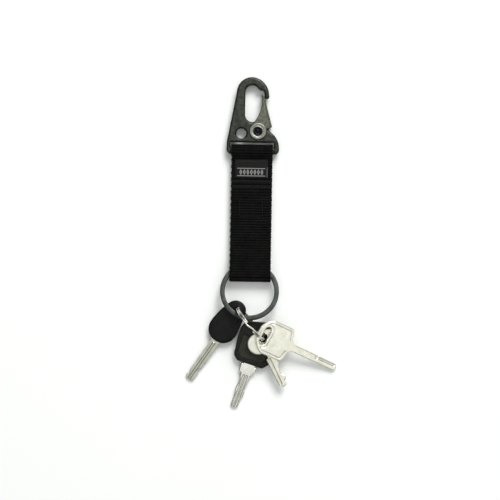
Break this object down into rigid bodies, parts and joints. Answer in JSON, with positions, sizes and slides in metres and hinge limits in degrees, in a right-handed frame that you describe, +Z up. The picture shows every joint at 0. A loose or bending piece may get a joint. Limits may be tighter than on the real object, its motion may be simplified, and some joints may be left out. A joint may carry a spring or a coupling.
{
  "type": "key organiser",
  "caption": "Belt-clip key organiser: a sprung snap hook on a sewn webbing strap, with a flat key ring, a small split ring and hanging keys.",
  "frame": {"origin": "on the table under the middle of the whole object", "axes": "+Y along the strap from the keys to the snap hook, +X to the right across the strap, +Z up from the table"},
  "size_m": [0.0902, 0.1976, 0.025],
  "materials": {
    "dark_cast_metal": "satin graphite with worn edges",
    "black_rivet": "semi-gloss black",
    "bright_washer": "turned bright steel",
    "spring_steel": "drawn wire",
    "bare_sheet_steel": "bare rolled sheet, slightly mottled",
    "black_webbing": "ribbed nylon webbing",
    "black_satin_label": "woven satin with pale lines",
    "black_thread": "twisted nylon thread",
    "dark_ring_steel": "satin dark grey",
    "bright_nickel": "polished nickel plate",
    "black_plastic": "smooth moulded plastic",
    "black_rubber": "soft moulded rubber",
    "grey_panel": "satin grey insert",
    "satin_nickel": "milled nickel-plated brass",
    "bright_key_nickel": "bright nickel plate, slightly warm"
  },
  "bodies": {
    "hook": {"hook_body": "dark_cast_metal", "gate_rivet": "black_rivet", "front_pivot_washer": "bright_washer", "rear_pivot_washer": "bright_washer", "gate_spring": "spring_steel"},
    "gate": {"hook_gate": "bare_sheet_steel"},
    "strap": {"webbing_upper": "black_webbing", "woven_label": "black_satin_label", "box_stitching": "black_thread", "bar_tack_stitching": "black_thread"},
    "strap_end": {"webbing_lower": "black_webbing"},
    "ring": {"key_ring": "dark_ring_steel"},
    "split_ring": {"small_split_ring": "bright_nickel"},
    "bike_key": {"bike_key_head": "black_plastic", "bike_key_blade": "satin_nickel"},
    "car_key": {"car_key_head": "black_rubber", "car_key_front_panel": "grey_panel", "car_key_rear_panel": "grey_panel", "car_key_blade": "satin_nickel"},
    "padlock_key": {"padlock_key": "bright_key_nickel"},
    "house_key": {"house_key": "bright_key_nickel"}
  },
  "joints": [
    {"name": "gate_pivot", "type": "hinge", "parent": "hook", "child": "gate", "pos_m": [-0.00451, 0.06648, 0.00395], "axis": [0, 0, 1], "range_deg": [0, 24], "stiffness_Nm_per_rad": 0.02, "springref_deg": -45.84, "deforming": ["gate_spring"]},
    {"name": "strap_swing", "type": "hinge", "parent": "hook", "child": "strap", "pos_m": [-0.00778, 0.05512, 0.00395], "axis": [1, 0, 0], "range_deg": [-95, 95]},
    {"name": "strap_flex", "type": "hinge", "parent": "strap", "child": "strap_end", "pos_m": [-0.00778, 0.00912, 0.00395], "axis": [1, 0, 0], "range_deg": [-60, 60], "stiffness_Nm_per_rad": 0.02},
    {"name": "ring_swing", "type": "hinge", "parent": "strap_end", "child": "ring", "pos_m": [-0.00788, -0.02028, 0.00506], "axis": [1, 0, 0], "range_deg": [0, 6]},
    {"name": "split_ring_slide", "type": "hinge", "parent": "ring", "child": "split_ring", "pos_m": [-0.00788, -0.02858, 0.00716], "axis": [0, 0.2453, 0.9694], "range_deg": [-40, 70]},
    {"name": "bike_key_fan", "type": "hinge", "parent": "split_ring", "child": "bike_key", "pos_m": [-0.01296, -0.03956, 0.0066], "axis": [0, 0, -1], "range_deg": [0, 40]},
    {"name": "car_key_fan", "type": "hinge", "parent": "split_ring", "child": "car_key", "pos_m": [-0.00057, -0.05369, 0.0052], "axis": [0, 0, 1], "range_deg": [0, 35]},
    {"name": "padlock_key_fan", "type": "hinge", "parent": "split_ring", "child": "padlock_key", "pos_m": [0.00049, -0.05538, 0.00865], "axis": [0, 0, -1], "range_deg": [0, 50]},
    {"name": "house_key_fan", "type": "hinge", "parent": "split_ring", "child": "house_key", "pos_m": [0.00066, -0.05613, 0.01275], "axis": [0, 0, 1], "range_deg": [0, 28]}
  ]
}
